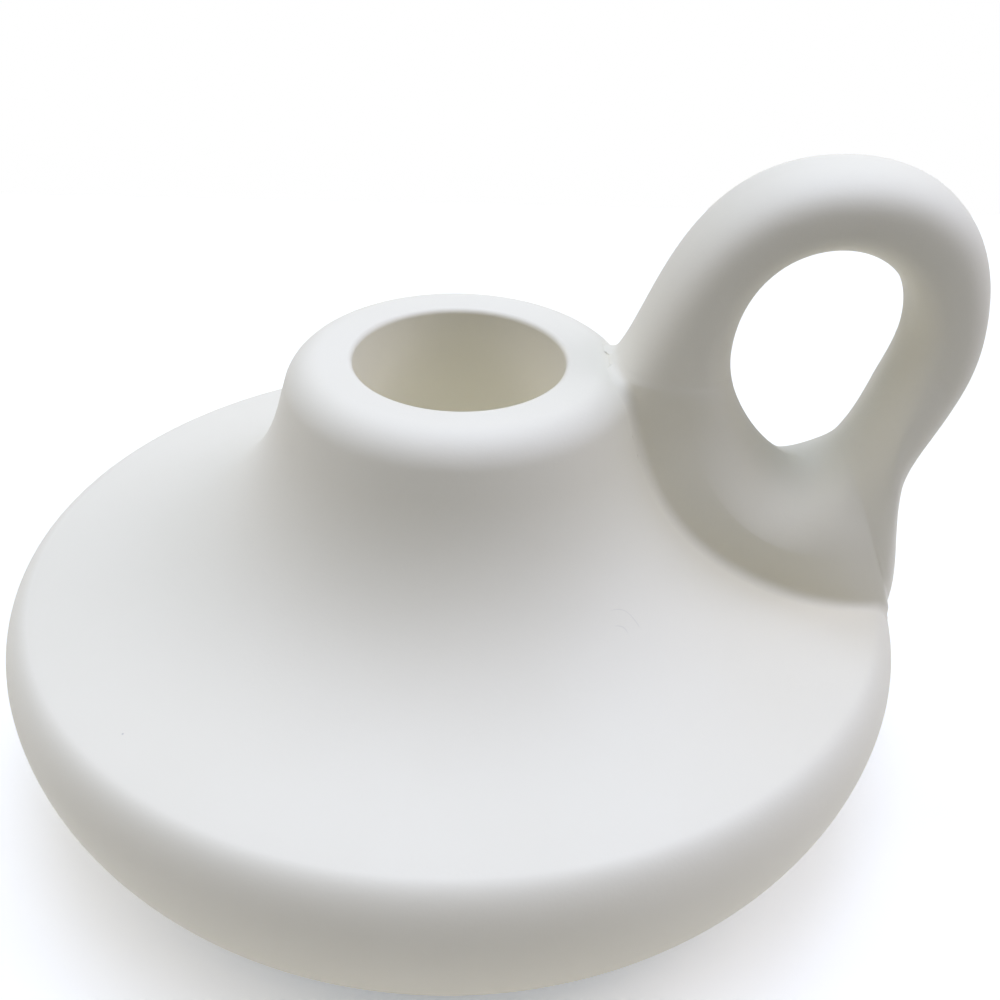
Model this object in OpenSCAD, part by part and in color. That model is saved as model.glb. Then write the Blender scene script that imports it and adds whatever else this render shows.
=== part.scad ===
// Ceramic candlestick: a low hollow dish with a swept neck, a cup for a dinner candle
// and a closed loop handle. Z is up, the axis of the dish is the origin, and the handle
// lies in the XZ plane on the +X side. Lengths are in millimetres.

/* [Dish] */
// Largest radius of the dish, at its girdle
dish_r = 50; // [44:0.5:60]
// Radius of the flat foot
foot_r = 35.2; // [31:0.1:40]
// Height of the girdle above the foot
girdle_h = 18.4; // [15:0.1:22]
// Fullness of the curve below the girdle, where 2 is an ellipse
belly_fullness = 1.78; // [1.6:0.02:2.4]
// Width of the rounding above the girdle
rim_w = 3.4; // [2:0.1:6]
// Height of the rounding above the girdle
rim_h = 5.7; // [4:0.1:8]
// Slope at which the dish top leaves the rounding, in degrees
dish_slope = 14.4; // [8:0.2:18]
// Thickness of the cast wall
wall = 4; // [3:0.1:5]

/* [Neck] */
// Height of the lip above the foot
lip_h = 50.8; // [46:0.1:58]
// Radius of the lip's rounded edge
lip_round = 4.1; // [3:0.1:5]
// Width of the flat ring between that edge and the candle cup
collar_w = 0.1; // [0.1:0.1:1.5]
// Depth below the lip at which the sweep ends
neck_drop = 6.2; // [5:0.1:9]
// Slope of the neck above the sweep, in degrees
neck_slope = 74.8; // [68:0.2:80]
// How far the sweep holds the slope of the dish
dish_bend = 8.2; // [5:0.1:12]
// How far the sweep holds the slope of the neck
neck_bend = 16.6; // [12:0.1:18]

/* [Candle cup] */
// Radius of the bore, for a dinner candle 22 mm thick
bore_r = 11.25; // [10.5:0.05:12]
// Depth of the bore
bore_depth = 24; // [18:0.5:28]
// Rounding of the bore's mouth
mouth_round = 0.6; // [0.3:0.1:1]
// Wall of the cup below its step
cup_wall = 2.2; // [1.8:0.1:2.6]
// Thickness of the cup's floor
cup_floor = 3; // [2:0.1:4]
// Width of the step that rests in the collar
step_w = 0.8; // [0.5:0.1:1]
// Height of that step
step_h = 3; // [2:0.1:5]
// Least height of the collar's seat below the step
land_h = 1.5; // [1:0.1:2]

/* [Handle] */
// Distance from the girdle in to the middle of the finger hole
hole_in = 12.5; // [10:0.1:14]
// Height of the middle of the finger hole above the lip
hole_up = 1; // [-1:0.1:3]
// Half the width of the finger hole
hole_half_w = 9.1; // [8:0.1:10]
// Half the height of the finger hole
hole_half_h = 13; // [11:0.1:14]
// Outward lean of the finger hole, in degrees
hole_lean = 8.2; // [4:0.1:12]
// How much wider the finger hole is above its middle, as a share
hole_egg_share = 0.19; // [0:0.01:0.3]
// How far the bottom of the finger hole is drawn outward
hole_toe = 1.5; // [0:0.1:3]
// Height of the handle's top above the lip
top_up = 22.4; // [21:0.1:26]
// How far the handle's top lies outside the middle of the finger hole
top_out = 1.8; // [0:0.1:4]
// How far the handle stands out past the girdle
overhang = 4.9; // [4:0.1:8]
// Height of the outermost point above the lip
overhang_up = 5; // [3:0.1:8]
// How far the waist of the handle lies inside the girdle
waist_in = 1.5; // [0.5:0.1:3]
// Depth of the waist below the lip
waist_down = 14.7; // [12:0.1:16]
// Depth below the lip at which the strap leaves the neck
strap_down = 0.2; // [0.1:0.1:3]
// Slope of the strap there, in degrees
strap_slope = 48.7; // [40:1:64]
// Height above the girdle at which the handle meets the rim
heel_up = 2.7; // [1:0.1:4]
// Slope at which the heel tucks in to the rim, in degrees from upright
heel_tuck = 8; // [0:0.5:16]
// Half the thickness of the handle above the lip
grip_half = 6.1; // [5:0.1:7]
// Half the thickness at which the web under the finger hole meets the neck
web_half = 3.6; // [2:0.1:5]
// Half the thickness that the sides reach at the height of the girdle
root_half = 8.8; // [8:0.1:12]
// Fullness of the handle's section, where 2 is an ellipse
grip_fullness = 2.5; // [2:0.05:2.8]

/* [Base] */
// Radius of the pad under the foot
pad_r = 28; // [24:0.5:30]
// Thickness of the pad
pad_t = 1.6; // [1:0.1:3]
// How far the pad stands proud of the foot
pad_proud = 0.4; // [0.2:0.1:0.8]
// Thickness of the floor over the pad
floor_t = 4.5; // [3.5:0.1:6]
// Radius of the vent hole in the floor
vent_r = 2; // [1:0.1:3]

/* [Fits] */
// Joint of slip between two pieces of clay
lute_gap = 0.15; // [0.1:0.01:0.25]
// Height of the tongue in the girdle seam
tongue_h = 2.4; // [2:0.1:4]
// Play round the pad in its recess
pad_play = 0.3; // [0.2:0.05:0.6]

/* [Hidden] */
$fn = 120;

// Heights in the part's frame, where the pad rests on zero
foot_z = pad_proud;
girdle_z = foot_z + girdle_h;
lip_z = foot_z + lip_h;
neck_z = lip_z - neck_drop;
floor_z = pad_t + lute_gap;
tongue_z = girdle_z + tongue_h;

// Colours of the fired clay and of the pad
clay_light = [0.91, 0.91, 0.90];
clay_seam = [0.86, 0.86, 0.85];
clay_cup = [0.84, 0.83, 0.79];
felt_grey = [0.45, 0.44, 0.42];

// How many points the curves of the outline have
belly_steps = 14;
rim_steps = 9;
sweep_steps = 16;
neck_steps = 4;
lip_steps = 6;
mouth_steps = 5;

function unit(v) = v / norm(v);
function along(angle) = [cos(angle), sin(angle)];
function backwards(list) = [for (i = [len(list) - 1:-1:0]) list[i]];
function fullness_curve(v, fullness) = sign(v) * pow(abs(v), 2 / fullness);

// A cubic curve from a to d that leaves towards b and arrives from c
function curve(a, b, c, d, steps) = [for (i = [0:steps])
    let (t = i / steps, s = 1 - t)
    s * s * s * a + 3 * s * s * t * b + 3 * s * t * t * c + t * t * t * d];

// Points of an elliptical arc
function arc(centre, half_w, half_h, from, to, steps) = [for (i = [0:steps])
    let (angle = from + (to - from) * i / steps)
    centre + [half_w * cos(angle), half_h * sin(angle)]];

// The outline moved square to itself, to its left where the distance is positive
function offset_line(line, distance) = [for (i = [0:len(line) - 1])
    let (
        before = line[max(0, i - 1)],
        after = line[min(len(line) - 1, i + 1)],
        run = unit(after - before)
    )
    line[i] + distance * [-run[1], run[0]]];

// Radii of the cup and of its seat in the collar
cup_r = bore_r + cup_wall;
cup_step_r = cup_r + step_w;
seat_r = cup_r + lute_gap;
seat_step_r = cup_step_r + lute_gap;
step_z = lip_z - step_h;
bore_z = lip_z - bore_depth;

// Outline of the lower wall, from the foot up to the girdle
belly_line = [for (i = [0:belly_steps])
    let (angle = 90 * i / belly_steps)
    [
        foot_r + (dish_r - foot_r) * fullness_curve(sin(angle), belly_fullness),
        foot_z + girdle_h * (1 - fullness_curve(cos(angle), belly_fullness))
    ]];

// Outline of the upper shell: rim, sweep, neck and lip
rim_end = atan2(rim_h, rim_w * tan(dish_slope));
rim_line = arc([dish_r - rim_w, girdle_z], rim_w, rim_h, 0, rim_end, rim_steps);
sweep_start = rim_line[rim_steps];
neck_run = along(180 - neck_slope);
lip_from = 90 - neck_slope;
lip_centre = [seat_step_r + collar_w, lip_z - lip_round];
neck_end = lip_centre + lip_round * along(lip_from);
neck_start = neck_end - (neck_end[1] - neck_z) / sin(neck_slope) * neck_run;
sweep_line = curve(
    sweep_start,
    sweep_start + dish_bend * along(180 - dish_slope),
    neck_start - neck_bend * neck_run,
    neck_start,
    sweep_steps
);
lip_line = arc(lip_centre, lip_round, lip_round, lip_from, 90, lip_steps);
neck_line = [for (i = [1:neck_steps]) neck_start + (neck_end - neck_start) * i / neck_steps];
function rest_of(line) = [for (i = [1:len(line) - 1]) line[i]];
top_line = concat(rim_line, rest_of(sweep_line), neck_line, rest_of(lip_line));

// Inner side of the upper shell, from the land under the cup's step down to the tongue
tongue_in = dish_r - wall;
tongue_out = dish_r - wall / 2;
shell_inner = offset_line(concat(sweep_line, neck_line), wall);
inner_line = [for (p = backwards(shell_inner))
    if (p[0] > seat_r && p[1] < step_z - lute_gap - land_h &&
        p[0] < tongue_in && p[1] > tongue_z + lute_gap) p];

module upper_shell() {
    color(clay_light)
    rotate_extrude()
    polygon(concat(
        [[tongue_out + lute_gap, girdle_z + lute_gap], [dish_r, girdle_z + lute_gap]],
        rest_of(top_line),
        [
            [seat_step_r, lip_z],
            [seat_step_r, step_z - lute_gap],
            [seat_r, step_z - lute_gap],
            [seat_r, inner_line[0][1]]
        ],
        inner_line,
        [
            [tongue_in, tongue_z + lute_gap],
            [tongue_out + lute_gap, tongue_z + lute_gap]
        ]
    ));
}

// Inner side of the lower wall, from the girdle down to the floor
belly_inner = [for (p = backwards(offset_line(belly_line, wall)))
    if (p[1] > floor_z + floor_t && p[1] < girdle_z && p[0] < tongue_in) p];
recess_r = pad_r + pad_play;

module lower_bowl() {
    color(clay_seam)
    rotate_extrude()
    polygon(concat(
        [[vent_r, floor_z], [recess_r, floor_z], [recess_r, foot_z]],
        belly_line,
        [[tongue_out, girdle_z], [tongue_out, tongue_z], [tongue_in, tongue_z]],
        belly_inner,
        [[belly_inner[len(belly_inner) - 1][0], floor_z + floor_t], [vent_r, floor_z + floor_t]]
    ));
}

// Cup of the candle, let in from above until its step rests in the collar
module candle_cup() {
    color(clay_cup)
    rotate_extrude()
    polygon(concat(
        [
            [0, bore_z - cup_floor],
            [cup_r, bore_z - cup_floor],
            [cup_r, step_z],
            [cup_step_r, step_z],
            [cup_step_r, lip_z]
        ],
        arc([bore_r + mouth_round, lip_z - mouth_round], mouth_round, mouth_round,
            90, 180, mouth_steps),
        [[bore_r, bore_z], [0, bore_z]]
    ));
}

module base_pad() {
    color(felt_grey)
    cylinder(r = pad_r, h = pad_t);
}

// Length run along a line of points, from its start to each of them
function lengths(line) = [for (
    i = 0, run = 0;
    i < len(line);
    run = run + (i < len(line) - 1 ? norm(line[i + 1] - line[i]) : 0), i = i + 1
) run];

// A line of points cut into equal steps
function evenly(line, steps) =
    let (
        run = lengths(line),
        across = [for (i = [0:len(line) - 1]) [run[i], line[i][0]]],
        upward = [for (i = [0:len(line) - 1]) [run[i], line[i][1]]],
        all = run[len(run) - 1]
    )
    [for (i = [0:steps]) let (s = all * i / steps) [lookup(s, across), lookup(s, upward)]];

// The shell's outline as the handle meets it, a joint of slip further out
seat_line = offset_line(top_line, -lute_gap);
seat_table = [for (p = seat_line) [p[1], p[0]]];
seat_top = seat_line[len(seat_line) - 1][1];
function seat_radius(z) = lookup(z, seat_table);
function clear_of_body(p) = p[2] > seat_top || norm([p[0], p[1]]) > seat_radius(p[2]);

// Middle and outline of the finger hole in the XZ plane, an egg whose lower half is drawn out
hole_middle = [dish_r - hole_in, lip_z + hole_up];
function hole_point(angle) =
    let (
        toe = hole_toe * pow(min(0, sin(angle)), 2),
        x = hole_half_w * cos(angle) * (1 + hole_egg_share * sin(angle)) + toe,
        z = hole_half_h * sin(angle)
    )
    hole_middle + x * along(-hole_lean) + z * along(90 - hole_lean);

// Outer outline, from the collar over the top to the waist and down to the rim. The curves
// reach along their tangents by these shares of the finger hole's half height.
bend_shares = [0.47, 1.34, 0.57, 1.05, 0.72, 0.42];
function bend(i) = bend_shares[i] * hole_half_h;
strap_z = lip_z - strap_down;
heel_z = girdle_z + heel_up;
strap_foot = [seat_radius(strap_z), strap_z];
handle_top = [hole_middle[0] + top_out, lip_z + top_up];
outermost = [dish_r + overhang, lip_z + overhang_up];
waist = [dish_r - waist_in, lip_z - waist_down];
heel = [seat_radius(heel_z), heel_z];
heel_bend = (waist[1] - heel[1]) / 3;
curve_steps = 12;
free_line = concat(
    curve(strap_foot, strap_foot + bend(0) * along(strap_slope),
        handle_top - [bend(1), 0], handle_top, curve_steps),
    rest_of(curve(handle_top, handle_top + [bend(2), 0],
        outermost + [0, bend(3)], outermost, curve_steps)),
    rest_of(curve(outermost, outermost - [0, bend(4)],
        waist + [0, bend(5)], waist, curve_steps)),
    rest_of(curve(waist, waist - [0, heel_bend],
        heel + heel_bend * along(90 - heel_tuck), heel, curve_steps))
);
root_line = concat(
    [heel],
    [for (p = seat_line) if (p[1] > heel_z && p[1] < strap_z) p],
    [strap_foot]
);

// Stations round the loop: free of the body first, then rooted on it
free_steps = 36;
root_steps = 34;
strap_angle = 192;
heel_angle = -50;
free_outer = evenly(free_line, free_steps);
root_outer = evenly(root_line, root_steps);
free_stations = [for (i = [0:free_steps])
    [hole_point(strap_angle + (heel_angle - strap_angle) * i / free_steps), free_outer[i], 0]];
root_stations = [for (i = [1:root_steps - 1])
    [
        hole_point(heel_angle + (strap_angle - 360 - heel_angle) * i / root_steps),
        root_outer[i],
        sin(180 * i / root_steps)
    ]];
stations = concat(free_stations, root_stations);

// A free section is centred in its band. A rooted one is thickest at a larger share of the way
// from the finger hole to the seat, and its far side is cut off there.
free_share = 0.5;
root_share = 0.95;
section_points = 24;

// The loop keeps its thickness down to the lip and widens towards the heel. The web is thin at
// the neck and widens towards the girdle, and the one passes into the other over a few stations.
web_lead = 1.1;
function between(a, b, share) = a + (b - a) * share;
function fall(z, low) = min(1, max(0, (lip_z - z) / (lip_z - low)));
function eased(share) = share * share * (3 - 2 * share);
function half_thickness(inner, outer, rooted) = between(
    between(grip_half, root_half, fall((inner[1] + outer[1]) / 2, heel_z)),
    between(web_half, root_half, fall(outer[1], girdle_z)),
    eased(min(1, web_lead * rooted))
);

// A point that would be buried in the body is moved square out to the nearest place on the seat
function place(inner, run, side, d) = [inner[0] + run[0] * d, side, inner[1] + run[1] * d];
function nearest_on(p, a, b) =
    let (t = ((p - a) * (b - a)) / ((b - a) * (b - a)))
    a + (b - a) * min(1, max(0, t));
function seated(p) =
    let (
        radius = norm([p[0], p[1]]),
        flat = [radius, p[2]],
        places = [for (i = [1:len(seat_line) - 1])
            nearest_on(flat, seat_line[i - 1], seat_line[i])],
        ways = [for (q = places) norm(q - flat)],
        best = places[search(min(ways), ways)[0]]
    )
    [p[0] * best[0] / radius, p[1] * best[0] / radius, best[1]];

function section(station) =
    let (
        inner = station[0],
        gap = station[1] - inner,
        run = unit(gap),
        share = between(free_share, root_share, station[2]),
        half_side = half_thickness(inner, station[1], station[2])
    )
    [for (j = [0:section_points - 1])
        let (
            angle = 360 * j / section_points,
            d = share * norm(gap) * (1 + fullness_curve(cos(angle), grip_fullness)),
            side = half_side * fullness_curve(sin(angle), grip_fullness),
            past_seat = station[2] > 0 && d > norm(gap),
            p = place(inner, run, side, past_seat ? norm(gap) : d)
        )
        past_seat || !clear_of_body(p) ? seated(p) : p];

module loop_handle() {
    rings = len(stations);
    color(clay_light)
    polyhedron(
        points = [for (s = stations) each section(s)],
        faces = [for (i = [0:rings - 1], j = [0:section_points - 1])
            let (
                next_ring = (i + 1) % rings,
                next_point = (j + 1) % section_points,
                a = i * section_points + j,
                b = next_ring * section_points + j,
                c = next_ring * section_points + next_point,
                d = i * section_points + next_point
            )
            each [[a, c, b], [a, d, c]]]
    );
}

lower_bowl();
upper_shell();
candle_cup();
loop_handle();
base_pad();
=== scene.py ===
from math import atan2, cos, hypot, pi, radians, sin, sqrt, tan

import bmesh
import bpy
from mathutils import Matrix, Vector
from mathutils.bvhtree import BVHTree


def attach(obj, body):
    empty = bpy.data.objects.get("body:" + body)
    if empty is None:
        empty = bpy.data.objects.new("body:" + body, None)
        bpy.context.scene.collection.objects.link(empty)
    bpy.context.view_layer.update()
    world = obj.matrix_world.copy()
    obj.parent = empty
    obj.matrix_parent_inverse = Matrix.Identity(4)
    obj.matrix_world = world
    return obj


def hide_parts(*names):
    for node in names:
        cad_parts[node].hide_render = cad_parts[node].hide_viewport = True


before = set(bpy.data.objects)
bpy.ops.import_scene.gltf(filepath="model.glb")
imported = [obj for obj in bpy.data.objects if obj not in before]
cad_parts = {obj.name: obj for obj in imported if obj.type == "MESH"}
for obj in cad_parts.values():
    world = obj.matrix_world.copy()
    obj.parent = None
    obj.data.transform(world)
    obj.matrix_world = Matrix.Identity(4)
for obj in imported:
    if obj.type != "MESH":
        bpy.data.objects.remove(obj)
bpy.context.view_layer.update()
mm = 0.001

# Camera, in the place from which the photo was taken
cameraSetup = {
    "place": (0.0, -136.5, 123.05),      # mm
    "turn": (58.243, -2.262, -2.372),    # degrees about X, Y and Z
    "lens": 52.475,                      # mm
    "sensor": 36.0,                      # mm
    "shift": (-0.04, -0.04),
    "clip": (0.01, 20.0),                # m
}


def makeCamera(setup):
    data = bpy.data.cameras.new("photoCamera")
    data.lens = setup["lens"]
    data.sensor_width = setup["sensor"]
    data.shift_x, data.shift_y = setup["shift"]
    data.clip_start, data.clip_end = setup["clip"]
    camera = bpy.data.objects.new("photoCamera", data)
    camera.location = Vector(setup["place"]) * mm
    camera.rotation_euler = [radians(turn) for turn in setup["turn"]]
    bpy.context.collection.objects.link(camera)
    bpy.context.scene.camera = camera


makeCamera(cameraSetup)
print("camera set")


# Outlines are lists of (radius, height) in millimetres
def towards(angle):
    return Vector((cos(radians(angle)), sin(radians(angle))))


def between(first, second, share):
    return first + (second - first) * share


def eased(share):
    return share * share * (3 - 2 * share)


# Cosine or sine of a rounded outline, where an amount of 2 gives an ellipse
def fullness(value, amount):
    return (1 if value > 0 else -1) * abs(value) ** (2 / amount)


def sweepCurve(start, leave, arrive, end, steps):
    points = []
    for i in range(steps + 1):
        t = i / steps
        s = 1 - t
        points.append(s**3 * start + 3 * s * s * t * leave + 3 * s * t * t * arrive + t**3 * end)
    return points


def arcOf(centre, halfWidth, halfHeight, start, end, steps):
    points = []
    for i in range(steps + 1):
        angle = radians(start + (end - start) * i / steps)
        points.append(centre + Vector((halfWidth * cos(angle), halfHeight * sin(angle))))
    return points


def movedIn(line, distance):
    moved = []
    for i, point in enumerate(line):
        run = (line[min(len(line) - 1, i + 1)] - line[max(0, i - 1)]).normalized()
        moved.append(point + distance * Vector((-run.y, run.x)))
    return moved


def evenSteps(line, steps):
    runs = [0.0]
    for before, after in zip(line, line[1:]):
        runs.append(runs[-1] + (after - before).length)
    points, place = [], 0
    for i in range(steps + 1):
        target = runs[-1] * i / steps
        while place < len(line) - 2 and runs[place + 1] < target:
            place += 1
        share = (target - runs[place]) / (runs[place + 1] - runs[place])
        points.append(line[place].lerp(line[place + 1], min(1, share)))
    return points


# Sizes of the thrown body, in millimetres and degrees, with heights above the table
bodySizes = {
    "dishRadius": 50.0,
    "footRadius": 35.2,
    "footHeight": 0.4,
    "girdleHeight": 18.8,
    "bellyFullness": 1.78,
    "rimWidth": 3.4,
    "rimHeight": 5.7,
    "dishSlope": 14.4,
    "wall": 4.0,
    "lipHeight": 51.2,
    "lipRound": 4.1,
    "collarWidth": 0.1,
    "neckDrop": 6.2,
    "neckSlope": 74.8,
    "dishBend": 8.2,        # how long the sweep keeps the slope of each end
    "neckBend": 16.6,
    "joint": 0.15,          # play between the luted pieces
    "segments": 256,
    "rimSteps": 40,
    "dishSteps": 90,
    "neckSteps": 12,
    "lipSteps": 24,
    "bellySteps": 64,
    "insideStride": 3,      # the inner wall takes every third point of the outer one
}
cupSizes = {
    "boreRadius": 11.25,
    "boreDepth": 24.0,
    "mouthRound": 0.6,
    "cornerRound": 0.8,
    "bottomRound": 1.2,
    "wall": 2.2,
    "floor": 3.0,
    "stepWidth": 0.8,
    "stepHeight": 3.0,
    "mouthSteps": 10,
    "cornerSteps": 6,
}
cupRadius = cupSizes["boreRadius"] + cupSizes["wall"]
cupStepRadius = cupRadius + cupSizes["stepWidth"]


def upperOutline(sizes):
    girdle, slope = sizes["girdleHeight"], sizes["dishSlope"]
    rimWidth, rimHeight = sizes["rimWidth"], sizes["rimHeight"]
    rimEnd = 180 / pi * atan2(rimHeight, rimWidth * tan(radians(slope)))
    rim = arcOf(Vector((sizes["dishRadius"] - rimWidth, girdle)), rimWidth, rimHeight,
                0, rimEnd, sizes["rimSteps"])
    neckRun = towards(180 - sizes["neckSlope"])
    lipStart = 90 - sizes["neckSlope"]
    lipRound = sizes["lipRound"]
    lipCentre = Vector((cupStepRadius + sizes["joint"] + sizes["collarWidth"],
                        sizes["lipHeight"] - lipRound))
    neckEnd = lipCentre + lipRound * towards(lipStart)
    neckFoot = sizes["lipHeight"] - sizes["neckDrop"]
    neckStart = neckEnd - (neckEnd.y - neckFoot) / sin(radians(sizes["neckSlope"])) * neckRun
    sweep = sweepCurve(rim[-1], rim[-1] + sizes["dishBend"] * towards(180 - slope),
                       neckStart - sizes["neckBend"] * neckRun, neckStart, sizes["dishSteps"])
    neck = [neckStart.lerp(neckEnd, i / sizes["neckSteps"]) for i in range(sizes["neckSteps"] + 1)]
    lip = arcOf(lipCentre, lipRound, lipRound, lipStart, 90, sizes["lipSteps"])
    return rim, sweep, neck, lip


def bellyOutline(sizes):
    foot, footHeight = sizes["footRadius"], sizes["footHeight"]
    steps, amount = sizes["bellySteps"], sizes["bellyFullness"]
    line = [Vector((foot, footHeight))]
    for i in range(1, steps):
        quarter = radians(90 * i / steps)
        line.append(Vector((
            foot + (sizes["dishRadius"] - foot) * fullness(sin(quarter), amount),
            footHeight + (sizes["girdleHeight"] - footHeight) * (1 - fullness(cos(quarter), amount)))))
    return line + [Vector((sizes["dishRadius"], sizes["girdleHeight"]))]


rimLine, dishLine, neckLine, lipLine = upperOutline(bodySizes)
topLine = rimLine + dishLine[1:] + neckLine[1:] + lipLine[1:]
bellyLine = bellyOutline(bodySizes)
weldDistance = 1e-7


def spun(outline, closed, segments):
    mesh = bmesh.new()
    points = [mesh.verts.new((point[0] * mm, 0, point[1] * mm)) for point in outline]
    pairs = list(zip(points, points[1:])) + ([(points[-1], points[0])] if closed else [])
    edges = [mesh.edges.new(pair) for pair in pairs]
    bmesh.ops.spin(mesh, geom=points + edges, cent=(0, 0, 0), axis=(0, 0, 1), angle=2 * pi,
                   steps=segments, use_merge=True)
    bmesh.ops.remove_doubles(mesh, verts=mesh.verts, dist=weldDistance)
    bmesh.ops.recalc_face_normals(mesh, faces=mesh.faces)
    return mesh


def faceOutward(mesh):
    bmesh.ops.recalc_face_normals(mesh, faces=mesh.faces)
    if mesh.calc_volume(signed=True) < 0:
        bmesh.ops.reverse_faces(mesh, faces=mesh.faces)
    mesh.normal_update()


def finishPiece(mesh, name, node, sharpAngle=35):
    for face in mesh.faces:
        face.smooth = True
    for edge in mesh.edges:
        if edge.calc_face_angle(0) > radians(sharpAngle):
            edge.smooth = False
    data = bpy.data.meshes.new(name)
    mesh.to_mesh(data)
    mesh.free()
    piece = bpy.data.objects.new(name, data)
    bpy.context.collection.objects.link(piece)
    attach(piece, "root")
    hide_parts(node)
    return piece


# Upper shell: rim, dish, neck and collar, hollow inside, with the rebate for the bowl's tongue
shellSizes = {
    "tongueHeight": 2.4,
    "landHeight": 1.5,      # wall left under the step that carries the cup
}
tongueTop = bodySizes["girdleHeight"] + shellSizes["tongueHeight"]
tongueIn = bodySizes["dishRadius"] - bodySizes["wall"]
tongueOut = bodySizes["dishRadius"] - bodySizes["wall"] / 2
cupStepFoot = bodySizes["lipHeight"] - cupSizes["stepHeight"]


def makeShell():
    lip, joint = bodySizes["lipHeight"], bodySizes["joint"]
    highest = cupStepFoot - joint - shellSizes["landHeight"]
    wallLine = movedIn(dishLine + neckLine[1:], bodySizes["wall"])
    inside = [point for point in wallLine[::-bodySizes["insideStride"]]
              if cupRadius + joint < point.x < tongueIn
              and tongueTop + joint < point.y < highest]
    outline = [Vector((tongueOut + joint, bodySizes["girdleHeight"]))] + topLine + [
        Vector((cupStepRadius, lip)),
        Vector((cupStepRadius, cupStepFoot)),
        Vector((cupRadius + joint, cupStepFoot)),
        Vector((cupRadius + joint, inside[0].y)),
    ] + inside + [
        Vector((tongueIn, tongueTop + joint)),
        Vector((tongueOut + joint, tongueTop + joint)),
    ]
    return spun(outline, True, bodySizes["segments"])


upperShell = finishPiece(makeShell(), "upperShell", "upper_shell")
print("upper shell made")

# Lower bowl: belly, foot, floor with its vent, and the tongue of the girdle seam
bowlSizes = {
    "floorThickness": 4.5,
    "ventRadius": 2.0,
    "edgeRound": 0.3,
    "edgeSteps": 6,
}
padSizes = {
    "radius": 28.0,
    "thickness": 1.6,
    "play": 0.3,
    "edgeRound": 0.25,
    "edgeSteps": 4,
    "segments": 160,
}


def makeBowl():
    girdle, foot = bodySizes["girdleHeight"], bodySizes["footHeight"]
    recessTop = padSizes["thickness"] + bodySizes["joint"]
    floorTop = recessTop + bowlSizes["floorThickness"]
    recess = padSizes["radius"] + padSizes["play"]
    edge, vent = bowlSizes["edgeRound"], bowlSizes["ventRadius"]
    inside = [point for point in movedIn(bellyLine, bodySizes["wall"])[::-bodySizes["insideStride"]]
              if floorTop < point.y < girdle and point.x < tongueIn]
    outline = [Vector((vent, recessTop + edge)), Vector((vent + edge, recessTop)),
               Vector((recess, recessTop))]
    outline += arcOf(Vector((recess + edge, foot + edge)), edge, edge, 180, 270, bowlSizes["edgeSteps"])
    outline += bellyLine + [
        Vector((tongueOut, girdle)),
        Vector((tongueOut, tongueTop)),
        Vector((tongueIn, tongueTop)),
    ] + inside + [
        Vector((inside[-1].x - edge, floorTop)),
        Vector((vent + edge, floorTop)),
        Vector((vent, floorTop - edge)),
    ]
    return spun(outline, True, bodySizes["segments"])


lowerBowl = finishPiece(makeBowl(), "lowerBowl", "lower_bowl")
print("lower bowl made")


# Candle cup: its rim lies flush with the lip, and its step rests in the collar
def makeCup(sizes):
    lip, bore = bodySizes["lipHeight"], sizes["boreRadius"]
    mouth, corner, bottom = sizes["mouthRound"], sizes["cornerRound"], sizes["bottomRound"]
    boreFloor = lip - sizes["boreDepth"]
    underside = boreFloor - sizes["floor"]
    outline = [Vector((0, underside))]
    outline += arcOf(Vector((cupRadius - bottom, underside + bottom)), bottom, bottom,
                     -90, 0, sizes["cornerSteps"])
    outline += [Vector((cupRadius, cupStepFoot)), Vector((cupStepRadius, cupStepFoot)),
                Vector((cupStepRadius, lip))]
    outline += arcOf(Vector((bore + mouth, lip - mouth)), mouth, mouth, 90, 180, sizes["mouthSteps"])
    outline += arcOf(Vector((bore - corner, boreFloor + corner)), corner, corner,
                     0, -90, sizes["cornerSteps"])
    outline += [Vector((0, boreFloor))]
    return spun(outline, False, bodySizes["segments"])


candleCup = finishPiece(makeCup(cupSizes), "candleCup", "candle_cup")
print("candle cup made")


# Pad of felt in the recess of the foot
def makePad(sizes):
    radius, thickness, edge = sizes["radius"], sizes["thickness"], sizes["edgeRound"]
    outline = [Vector((0, 0))]
    outline += arcOf(Vector((radius - edge, edge)), edge, edge, -90, 0, sizes["edgeSteps"])
    outline += arcOf(Vector((radius - edge, thickness - edge)), edge, edge, 0, 90, sizes["edgeSteps"])
    outline += [Vector((0, thickness))]
    return spun(outline, False, sizes["segments"])


basePad = finishPiece(makePad(padSizes), "basePad", "base_pad")
print("base pad made")

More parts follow.
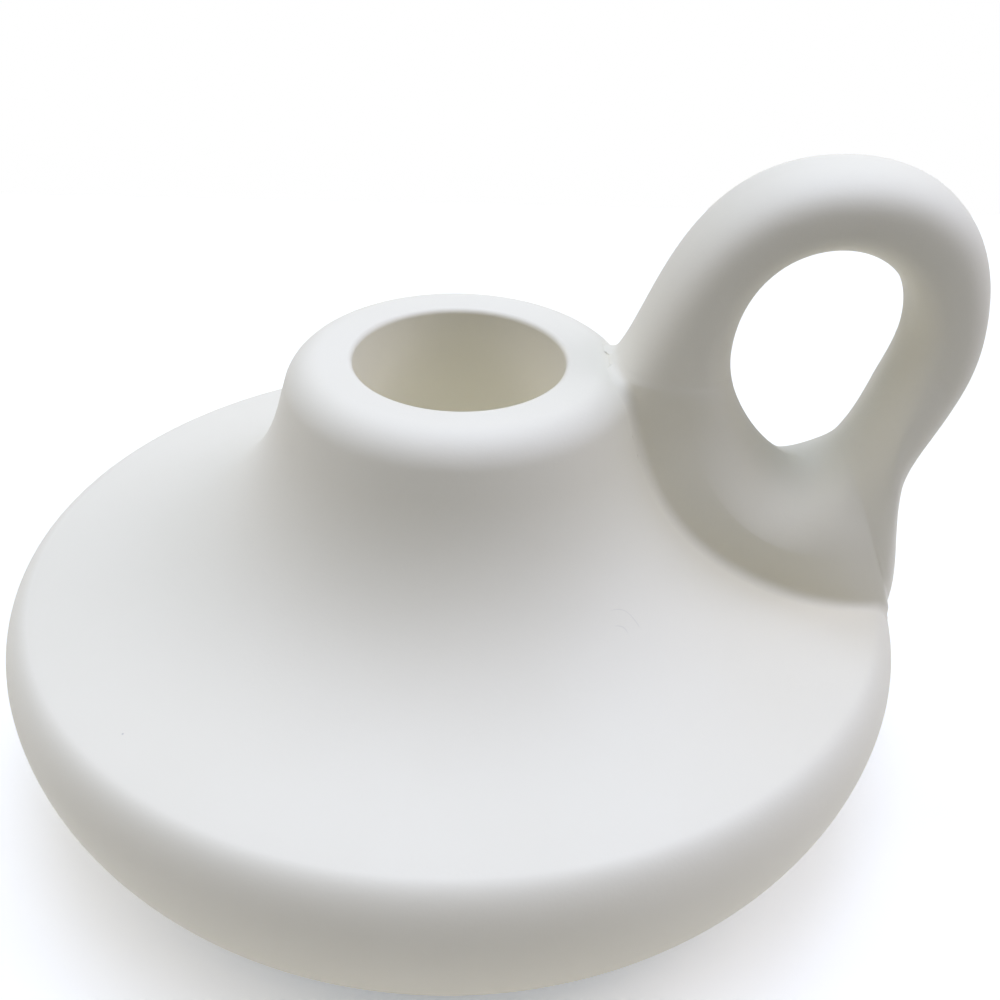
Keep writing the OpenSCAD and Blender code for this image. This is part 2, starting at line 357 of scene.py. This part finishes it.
# Loop handle: its outlines lie in the XZ plane, measured from rim, girdle and lip. Its sections are
# stations round the loop, free of the body over the grip and rooted on it along the web.
handleSizes = {
    "holeIn": 12.5,
    "holeUp": 1.0,
    "holeHalfWidth": 9.1,
    "holeHalfHeight": 13.0,
    "holeLean": 8.2,
    "holeEgg": 0.19,
    "holeToe": 2.2,        # draws the bottom of the finger hole outward
    "holeLift": 0.3,       # and raises it
    "topUp": 22.38,
    "topOut": 1.8,
    "overhang": 4.83,
    "overhangUp": 5.0,
    "waistIn": 1.5,
    "waistDown": 14.7,
    "strapDown": 0.2,
    "strapSlope": 48.7,
    "heelUp": 2.7,
    "heelTuck": 8.0,
    "bendShares": (0.47, 1.34, 0.57, 1.05, 0.72, 0.42),
    "strapAngle": 192.0,
    "heelAngle": -50.0,
    "gripHalf": 6.1,       # half of the thickness at the grip, at the heel and along the web
    "rootHalf": 8.8,
    "webHalf": 3.6,
    "flareHalf": 11.3,
    "webLead": 1.1,
    "gripFullness": 2.5,
    "webFullness": 1.42,   # the web's shoulder under the finger hole
    "footFullness": 1.8,   # and its steep side below the thickest line
    "freeShare": 0.5,      # the thickest line's place between the finger hole and the outer line
    "rootShare": 0.62,
    "footShare": 2.0,      # how far past that line a rooted section reaches
    "joint": 0.15,
    "fillet": 1.1,         # radius of the slip wiped into the joint
    "sunk": 0.02,          # how deep the hidden edge lies in the body
    "facingLimits": (-0.3, 0.95),    # for the cosine between the two surfaces' normals
    "freeStations": 180,
    "rootStations": 104,
    "outlineSteps": 48,
    "around": 128,
    "creaseRow": 6,        # rows below this one are hidden in the joint
    "filletRows": 9,
    "filletGather": 1.3,   # above 1 it draws them towards the joint
    "rowAngle": 1.0,       # least angle for each row
    "searchAngle": 3.0,
    "searchHalvings": 14,
    "sharpAngle": 60,
}


def handleStations(sizes):
    lip, girdle = bodySizes["lipHeight"], bodySizes["girdleHeight"]
    edge, halfHeight = bodySizes["dishRadius"], sizes["holeHalfHeight"]
    steps, freeCount, rootCount = sizes["outlineSteps"], sizes["freeStations"], sizes["rootStations"]
    middle = Vector((edge - sizes["holeIn"], lip + sizes["holeUp"]))
    seatLine = movedIn(topLine, -sizes["joint"])

    def holePoint(angle):
        up, lean = sin(radians(angle)), sizes["holeLean"]
        along = sizes["holeHalfWidth"] * cos(radians(angle)) * (1 + sizes["holeEgg"] * up)
        along += sizes["holeToe"] * min(0, up)**2
        upward = halfHeight * up + sizes["holeLift"] * min(0, up)**4
        return middle + along * towards(-lean) + upward * towards(90 - lean)

    def seatAt(height):
        for lower, upper in zip(seatLine, seatLine[1:]):
            if lower.y <= height <= upper.y:
                return lower.lerp(upper, (height - lower.y) / (upper.y - lower.y))

    bends = [share * halfHeight for share in sizes["bendShares"]]
    strapFoot = seatAt(lip - sizes["strapDown"])
    heel = seatAt(girdle + sizes["heelUp"])
    top = Vector((middle.x + sizes["topOut"], lip + sizes["topUp"]))
    outermost = Vector((edge + sizes["overhang"], lip + sizes["overhangUp"]))
    waist = Vector((edge - sizes["waistIn"], lip - sizes["waistDown"]))
    across, upward = Vector((1, 0)), Vector((0, 1))
    heelBend = (waist.y - heel.y) / 3
    free = sweepCurve(strapFoot, strapFoot + bends[0] * towards(sizes["strapSlope"]),
                      top - bends[1] * across, top, steps)
    free += sweepCurve(top, top + bends[2] * across, outermost + bends[3] * upward, outermost, steps)[1:]
    free += sweepCurve(outermost, outermost - bends[4] * upward, waist + bends[5] * upward, waist,
                       steps)[1:]
    free += sweepCurve(waist, waist - heelBend * upward,
                       heel + heelBend * towards(90 - sizes["heelTuck"]), heel, steps)[1:]
    root = [heel] + [point for point in seatLine if heel.y < point.y < strapFoot.y] + [strapFoot]

    # Each station is a point of the finger hole, one of the outer line, and how far it is rooted
    turn, stations = sizes["heelAngle"] - sizes["strapAngle"], []
    for i, outer in enumerate(evenSteps(free, freeCount)):
        stations.append((holePoint(sizes["strapAngle"] + turn * i / freeCount), outer, 0.0))
    rest = -360 - turn
    for i, outer in enumerate(evenSteps(root, rootCount)[1:-1], 1):
        share = i / rootCount
        stations.append((holePoint(sizes["heelAngle"] + rest * share), outer, sin(pi * share)))
    return stations, heel.y


def bodySkin():
    skinMesh = spun(topLine, False, bodySizes["segments"])
    if skinMesh.faces[0].normal.dot(skinMesh.faces[0].calc_center_median()) < 0:
        bmesh.ops.reverse_faces(skinMesh, faces=skinMesh.faces)
    skin = BVHTree.FromBMesh(skinMesh)
    skinMesh.free()
    return skin


# A ring of rows and stations, each vertex listed with its station, its row and its side
def plainRing(stationCount, around):
    ringRadius = 3
    mesh = bmesh.new()
    bmesh.ops.create_circle(mesh, segments=around, radius=1)
    for vert in mesh.verts:
        vert.co = Vector((ringRadius + vert.co.x, 0, vert.co.y))
    bmesh.ops.spin(mesh, geom=mesh.verts[:] + mesh.edges[:], cent=(0, 0, 0), axis=(0, 0, 1),
                   angle=2 * pi, steps=stationCount, use_merge=True)
    grid = []
    for vert in mesh.verts:
        i = round(atan2(vert.co.y, vert.co.x) / (2 * pi) * stationCount) % stationCount
        j = round(atan2(vert.co.z, hypot(vert.co.x, vert.co.y) - ringRadius) / (2 * pi) * around)
        grid.append((vert, i, abs(j), 1 if j > 0 else -1))
    return mesh, grid


def makeHandle(sizes):
    stations, heelHeight = handleStations(sizes)
    lip, girdle = bodySizes["lipHeight"], bodySizes["girdleHeight"]
    skin = bodySkin()
    half, crease = sizes["around"] // 2, sizes["creaseRow"]
    last = crease + sizes["filletRows"]
    fillet, sunk = sizes["fillet"] * mm, sizes["sunk"] * mm
    leastFacing, mostFacing = sizes["facingLimits"]

    def fall(height, low):
        return min(1, max(0, (lip - height) / (lip - low)))

    # Angle 180 lies at the finger hole, 90 at the thickest line and 0 at the outer line or the seat
    def sectionPoint(station, angle, sideways, limited=False):
        inner, outer, weight = station
        gap = outer - inner
        share = between(sizes["freeShare"], sizes["rootShare"], weight)
        if angle > 90:
            reach, amount = share, between(sizes["gripFullness"], sizes["webFullness"], weight**2)
        else:
            reach = between(sizes["freeShare"], sizes["footShare"], weight)
            amount = between(sizes["gripFullness"], sizes["footFullness"], weight**2)
        distance = gap.length * (share + reach * fullness(cos(radians(angle)), amount))
        if limited:
            distance = min(distance, gap.length)
        place = inner + distance * gap.normalized()
        halfSide = between(
            between(sizes["gripHalf"], sizes["rootHalf"], fall((inner.y + outer.y) / 2, heelHeight)),
            between(sizes["webHalf"], sizes["flareHalf"], fall(outer.y, girdle)),
            eased(min(1, sizes["webLead"] * weight)))
        side = halfSide * abs(sin(radians(angle))) ** (2 / amount)
        return Vector((place.x, sideways * side, place.y)) * mm

    def clearance(point):
        found, normal, _, distance = skin.find_nearest(point)
        return (distance if (point - found).dot(normal) > 0 else -distance), normal

    # The smallest angle below the start at which a section still clears the body by a height
    def angleAt(station, height, start):
        low, high, angle = None, start, start
        while angle > 0:
            angle = max(0, angle - sizes["searchAngle"])
            if clearance(sectionPoint(station, angle, 1))[0] < height:
                low = angle
                break
            high = angle
        if low is None:
            return 0
        for _ in range(sizes["searchHalvings"]):
            middle = (low + high) / 2
            if clearance(sectionPoint(station, middle, 1))[0] < height:
                low = middle
            else:
                high = middle
        return high

    # Rows of each section: hidden in the joint, over the fillet, then evenly to the finger hole
    rows = []
    for station in stations:
        angles, start = {half: 180.0}, 180.0
        for row in range(last, crease - 1, -1):
            turned = radians(90) * ((row - crease) / sizes["filletRows"]) ** sizes["filletGather"]
            start = angleAt(station, fillet * (1 - cos(turned)), start)
            angles[row] = max(start, sizes["rowAngle"] * row)
        for row in range(crease):
            angles[row] = angles[crease] * row / crease
        for row in range(last + 1, half):
            angles[row] = angles[last] + (180 - angles[last]) * (row - last) / (half - last)
        rows.append(angles)

    # A plain ring of the same rows and stations is moved to the handle's shape
    mesh, grid = plainRing(len(stations), sizes["around"])
    for vert, i, row, sideways in grid:
        vert.co = sectionPoint(stations[i], rows[i][row], sideways)
    faceOutward(mesh)
    outward = {(i, row, sideways): vert.normal.copy() for vert, i, row, sideways in grid}

    # Near the body each point moves out along it, on to a round that touches both surfaces
    for vert, i, row, sideways in grid:
        height, upright = clearance(vert.co)
        rooted = stations[i][2] > 0 and row <= crease
        normal = outward[i, crease + 1 if rooted else row, sideways]
        facing = max(leastFacing, min(mostFacing, normal.dot(upright)))
        slide = (normal - facing * upright).normalized()
        reach = fillet * sqrt((1 - facing) / (1 + facing))
        level = sqrt(1 - facing**2)
        if height >= reach * level:
            continue
        if height > 0:
            spread = reach - sqrt(max(0, fillet**2 - (fillet - height)**2)) + height * facing / level
            start = vert.co
        else:
            spread = reach * max(0, 1 + height / reach)
            start, height = sectionPoint(stations[i], rows[i][row], sideways, True), -sunk
        found, upright, _, _ = skin.find_nearest(start + slide * spread)
        vert.co = found + upright * height
    faceOutward(mesh)
    return mesh


loopHandle = finishPiece(makeHandle(handleSizes), "loopHandle", "loop_handle",
                         handleSizes["sharpAngle"])
print("loop handle made")


# A socket of a node tree that takes part in sums
class Wire:
    def __init__(self, tree, end=None):
        self.tree, self.end = tree, end

    def node(self, kind, settings, sockets, output=0):
        made = self.tree.nodes.new(kind)
        for name, value in settings.items():
            setattr(made, name, value)
        for name, value in sockets.items():
            if isinstance(value, Wire):
                self.tree.links.new(value.end, made.inputs[name])
            else:
                made.inputs[name].default_value = value
        return Wire(self.tree, made.outputs[output] if made.outputs else None)

    def maths(self, operation, first, second=0.0):
        return self.node("ShaderNodeMath", {"operation": operation}, {0: first, 1: second})

    def __add__(self, other):
        return self.maths("ADD", self, other)

    def __sub__(self, other):
        return self.maths("SUBTRACT", self, other)

    def __rsub__(self, other):
        return self.maths("SUBTRACT", other, self)

    def __mul__(self, other):
        return self.maths("MULTIPLY", self, other)

    __radd__, __rmul__ = __add__, __mul__


def newMaterial(name):
    material = bpy.data.materials.new(name)
    material.use_nodes = True
    material.node_tree.nodes.clear()
    return material, Wire(material.node_tree)


def noise(place, scale, **sockets):
    return place.node("ShaderNodeTexNoise", {}, {"Vector": place, "Scale": scale, **sockets})


# Scattered cells: the distance to the nearest middle, and the cell's own chance from one channel
def scatter(place, scale, channel):
    cells = {"Vector": place, "Scale": scale, "Randomness": 1.0}
    distance = place.node("ShaderNodeTexVoronoi", {}, cells, "Distance")
    chance = place.node("ShaderNodeSeparateColor", {}, {
        "Color": place.node("ShaderNodeTexVoronoi", {}, cells, "Color")}, channel)
    return distance, chance


# Falls softly from 1 at the start to 0 at the end
def fade(value, start, end):
    return value.node("ShaderNodeMapRange", {"interpolation_type": "SMOOTHSTEP"}, {
        "Value": value, "From Min": start, "From Max": end, "To Min": 1.0, "To Max": 0.0})


def blend(share, first, second):
    tones = [tone if isinstance(tone, Wire) else (*tone, 1) for tone in (first, second)]
    return share.node("ShaderNodeMix", {"data_type": "RGBA"}, {
        "Factor": share, 6: tones[0], 7: tones[1]}, 2)


clayFinish = {
    "tone": (0.893, 0.855, 0.713),    # fired white clay
    "warmTone": (0.877, 0.836, 0.687),
    "markTone": (0.42, 0.40, 0.37),
    "mottleScale": 55.0,              # scales are per metre
    "grainScale": 2600.0,
    "dragScale": 2600.0 / 9,
    "grainHeight": 0.55,              # shares of the relief
    "dragHeight": 0.8,
    "markDepth": 0.6,
    "reliefDepth": 0.00003,           # m
    "reliefStrength": 0.5,
    "speckScale": 130.0,
    "speckless": 0.72,                # share of the cells without a speck
    "speckReach": 0.13,
    "speckEdge": (-0.012, 0.006),
    "speckStrength": 0.55,
    "fibreScale": 62.0,
    "fibreWander": 6.0,
    "fibreless": 0.7,
    "fibreEdge": (0.006, 0.02),
    "fibreEnds": (0.08, 0.13),
    "fibreStrength": 0.2,
    "strongestMark": 0.7,
    "roughness": 0.53,
    "roughnessSpread": 0.14,
}


def clayMaterial(finish):
    material, wire = newMaterial("matteClay")
    place = wire.node("ShaderNodeTexCoord", {}, {}, "Object")
    mottle = noise(place, finish["mottleScale"], Detail=3.0, Roughness=0.55)
    grain = noise(place, finish["grainScale"], Detail=2.0, Roughness=0.6)
    drag = noise(place, finish["dragScale"], Detail=3.0, Roughness=0.6)
    # Specks lie in a few cells, each of its own size
    distance, chance = scatter(place, finish["speckScale"], "Red")
    reach = wire.maths("MAXIMUM", chance - finish["speckless"]) * finish["speckReach"]
    speck = fade(distance - reach, *finish["speckEdge"])
    # Fibres are short stretches of a wandering line
    nearFibre, fibreChance = scatter(place, finish["fibreScale"], "Green")
    wander = noise(place, finish["fibreScale"] * finish["fibreWander"], Detail=0.0)
    line = fade(wire.maths("ABSOLUTE", wander - 0.5), *finish["fibreEdge"])
    stretch = fade(nearFibre, *finish["fibreEnds"])
    fibre = line * stretch * wire.maths("GREATER_THAN", fibreChance, finish["fibreless"])
    marks = wire.maths("MINIMUM", speck * finish["speckStrength"] + fibre * finish["fibreStrength"],
                       finish["strongestMark"])
    plain = blend(mottle, finish["tone"], finish["warmTone"])
    relief = grain * finish["grainHeight"] + drag * finish["dragHeight"] - marks * finish["markDepth"]
    bump = wire.node("ShaderNodeBump", {}, {
        "Height": relief, "Strength": finish["reliefStrength"], "Distance": finish["reliefDepth"]})
    shader = wire.node("ShaderNodeBsdfPrincipled", {}, {
        "Base Color": blend(marks, plain, finish["markTone"]),
        "Roughness": mottle * finish["roughnessSpread"] + finish["roughness"],
        "Normal": bump})
    wire.node("ShaderNodeOutputMaterial", {}, {"Surface": shader})
    return material


clay = clayMaterial(clayFinish)
for piece in (upperShell, lowerBowl, candleCup, loopHandle):
    piece.data.materials.append(clay)

feltFinish = {
    "tone": (0.21, 0.205, 0.195),
    "paleTone": (0.3, 0.29, 0.275),
    "tangleScale": 1400.0,
    "tangleShare": 0.7,
    "cloudScale": 1400.0 / 12,
    "cloudShare": 0.3,
    "nap": 0.00015,                   # m
    "napStrength": 0.7,
    "roughness": 0.95,
    "sheen": 0.2,
}


def feltMaterial(finish):
    material, wire = newMaterial("greyFelt")
    place = wire.node("ShaderNodeTexCoord", {}, {}, "Object")
    tangle = noise(place, finish["tangleScale"], Detail=4.0, Distortion=1.5)
    cloud = noise(place, finish["cloudScale"], Detail=2.0)
    bump = wire.node("ShaderNodeBump", {}, {
        "Height": tangle, "Strength": finish["napStrength"], "Distance": finish["nap"]})
    shader = wire.node("ShaderNodeBsdfPrincipled", {}, {
        "Base Color": blend(tangle * finish["tangleShare"] + cloud * finish["cloudShare"],
                                 finish["tone"], finish["paleTone"]),
        "Roughness": finish["roughness"], "Normal": bump, "Sheen Weight": finish["sheen"]})
    wire.node("ShaderNodeOutputMaterial", {}, {"Surface": shader})
    return material


basePad.data.materials.append(feltMaterial(feltFinish))
print("materials made")

# Studio: a pale floor, large soft lamps and a white room that only the camera and gloss see
studio = {
    "floorSize": 0.34,
    "floorTone": (0.9, 0.86, 0.765),
    "floorLift": (0.31, 0.335, 0.37),    # keeps its shadow pale, without lighting the object
    "ambient": (0.9, 0.93, 1.0),
    "ambientStrength": 0.004,
    "lampSize": 0.9,
    "aim": (0, 0, 0.03),
}
lamps = {
    "overhead": {"place": (0, 0, 1.43), "power": 8.1, "tint": (0.68, 0.76, 1.0)},
    "rightLamp": {"place": (1.072, 0, 0.93), "power": 8.8, "tint": (0.82, 0.82, 1.0)},
    "leftLamp": {"place": (-1.072, 0, 0.93), "power": 5.25, "tint": (0.88, 0.875, 1.0)},
    "backLamp": {"place": (0, 0.569, 1.309), "power": 5.4, "tint": (0.56, 0.7, 1.0)},
    "backLeftLamp": {"place": (-0.758, 0.758, 0.93), "power": 1.88, "tint": (1.0, 0.98, 0.98)},
    "frontLamp": {"place": (0, -0.433, 1.361), "power": 2.67, "tint": (1.0, 0.98, 0.98)},
}


# 1 for rays from the camera and for gloss, and 0 for the light that falls on the object
def seenDirectly(wire):
    camera, gloss, glass = [wire.node("ShaderNodeLightPath", {}, {}, ray)
                            for ray in ("Is Camera Ray", "Is Glossy Ray", "Is Transmission Ray")]
    return wire.maths("MAXIMUM", wire.maths("MAXIMUM", camera, gloss), glass)


def makeFloor(setup):
    mesh = bmesh.new()
    bmesh.ops.create_grid(mesh, x_segments=1, y_segments=1, size=setup["floorSize"] / 2)
    data = bpy.data.meshes.new("paleFloor")
    mesh.to_mesh(data)
    mesh.free()
    floor = bpy.data.objects.new("paleFloor", data)
    bpy.context.collection.objects.link(floor)
    material, wire = newMaterial("paleFloor")
    matte = wire.node("ShaderNodeBsdfDiffuse", {}, {"Color": (*setup["floorTone"], 1)})
    lift = wire.node("ShaderNodeEmission", {}, {
        "Color": (*setup["floorLift"], 1), "Strength": seenDirectly(wire)})
    both = wire.node("ShaderNodeAddShader", {}, {0: matte, 1: lift})
    wire.node("ShaderNodeOutputMaterial", {}, {"Surface": both})
    data.materials.append(material)


def makeRoom(setup):
    world = bpy.data.worlds.new("whiteRoom")
    world.use_nodes = True
    world.node_tree.nodes.clear()
    bpy.context.scene.world = world
    wire = Wire(world.node_tree)
    ambient = wire.node("ShaderNodeBackground", {}, {
        "Color": (*setup["ambient"], 1), "Strength": setup["ambientStrength"]})
    white = wire.node("ShaderNodeBackground", {}, {"Color": (1, 1, 1, 1), "Strength": 1.0})
    either = wire.node("ShaderNodeMixShader", {}, {0: seenDirectly(wire), 1: ambient, 2: white})
    wire.node("ShaderNodeOutputWorld", {}, {"Surface": either})


def makeLamp(name, setup):
    data = bpy.data.lights.new(name, "AREA")
    data.shape = "SQUARE"
    data.size = studio["lampSize"]
    data.energy = setup["power"]
    data.color = setup["tint"]
    lamp = bpy.data.objects.new(name, data)
    lamp.location = setup["place"]
    aim = Vector(studio["aim"]) - lamp.location
    lamp.rotation_euler = aim.to_track_quat("-Z", "Y").to_euler()
    bpy.context.collection.objects.link(lamp)


makeFloor(studio)
makeRoom(studio)
for lampName, lampSetup in lamps.items():
    makeLamp(lampName, lampSetup)
bpy.context.scene.view_settings.view_transform = "Standard"
print("studio lit")
